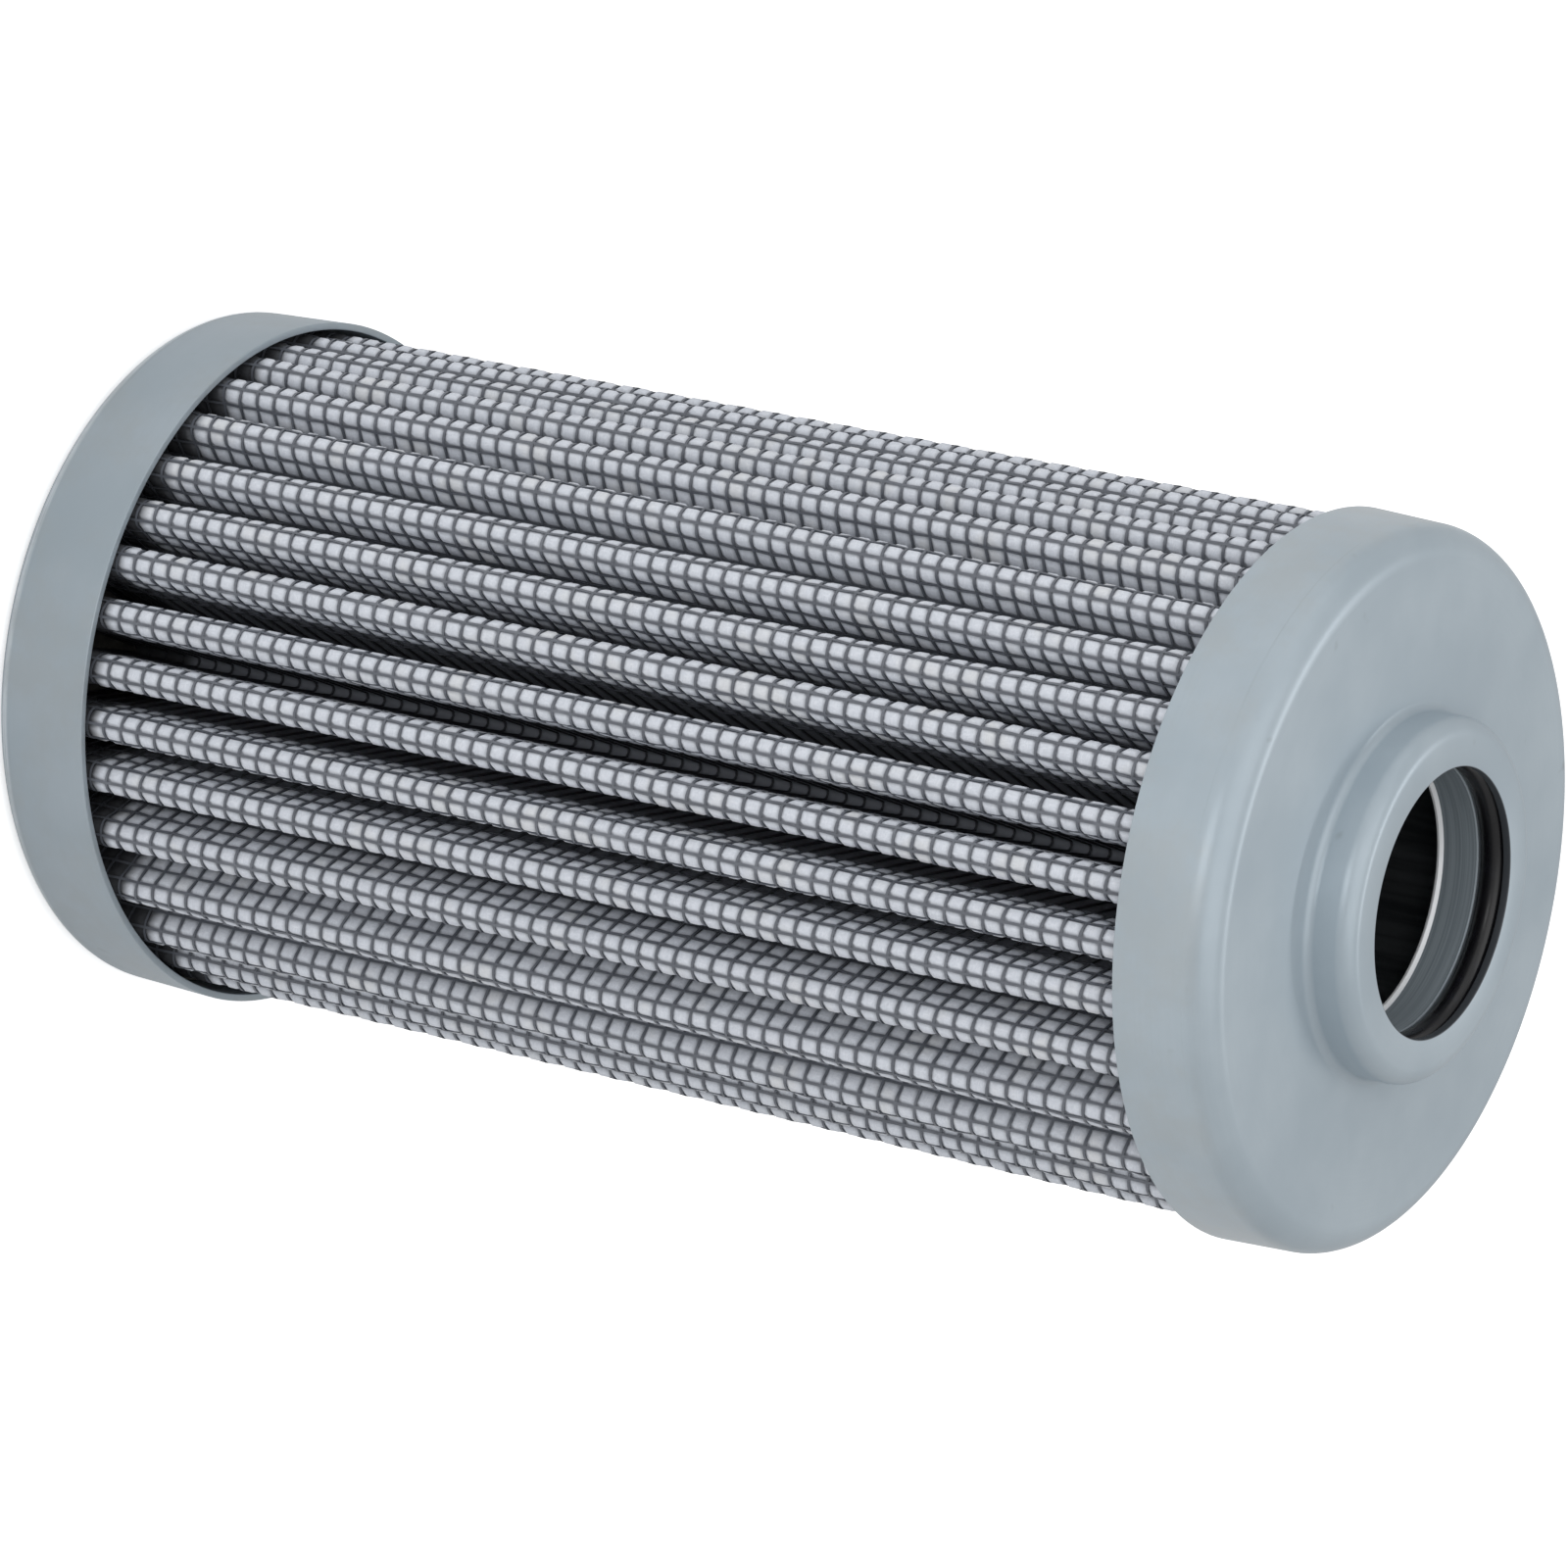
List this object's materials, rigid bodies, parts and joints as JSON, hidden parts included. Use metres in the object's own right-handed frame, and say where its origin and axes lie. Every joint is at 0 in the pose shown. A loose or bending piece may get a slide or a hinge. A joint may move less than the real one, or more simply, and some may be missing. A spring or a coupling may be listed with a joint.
{
  "type": "hydraulic filter element",
  "caption": "Pleated hydraulic filter cartridge: wire-backed pleats round a perforated core, between a closed and an open steel end cap with a sealed hub.",
  "frame": {"origin": "centre of the closed cap's outer face, on which the element stands", "axes": "+Z along the filter's axis, from the closed cap to the open cap's hub; X and Y are across, and the pleat pack's side seam is near +Y"},
  "size_m": [0.0474, 0.0474, 0.098],
  "materials": {
    "zinc_steel": "matte zinc-plated sheet",
    "turned_steel": "turned, zinc-plated",
    "seal_rubber": "smooth",
    "core_steel": "perforated tube",
    "coated_wire": "epoxy-coated woven wire",
    "fleece": "white fleece",
    "glass_fibre": "glass-fibre mat",
    "adhesive": "cured potting adhesive"
  },
  "bodies": {
    "root": {"closed_end_cap": "zinc_steel", "open_end_cap": "zinc_steel", "seal_carrier": "turned_steel", "sealing_ring": "seal_rubber", "core_tube": "core_steel", "outer_wire_cloth": "coated_wire", "outer_fleece": "fleece", "prefilter_layer": "glass_fibre", "fine_filter_layer": "glass_fibre", "inner_fleece": "fleece", "inner_wire_cloth": "coated_wire", "side_seam_strip": "adhesive", "closed_end_adhesive": "adhesive", "open_end_adhesive": "adhesive"}
  },
  "joints": []
}
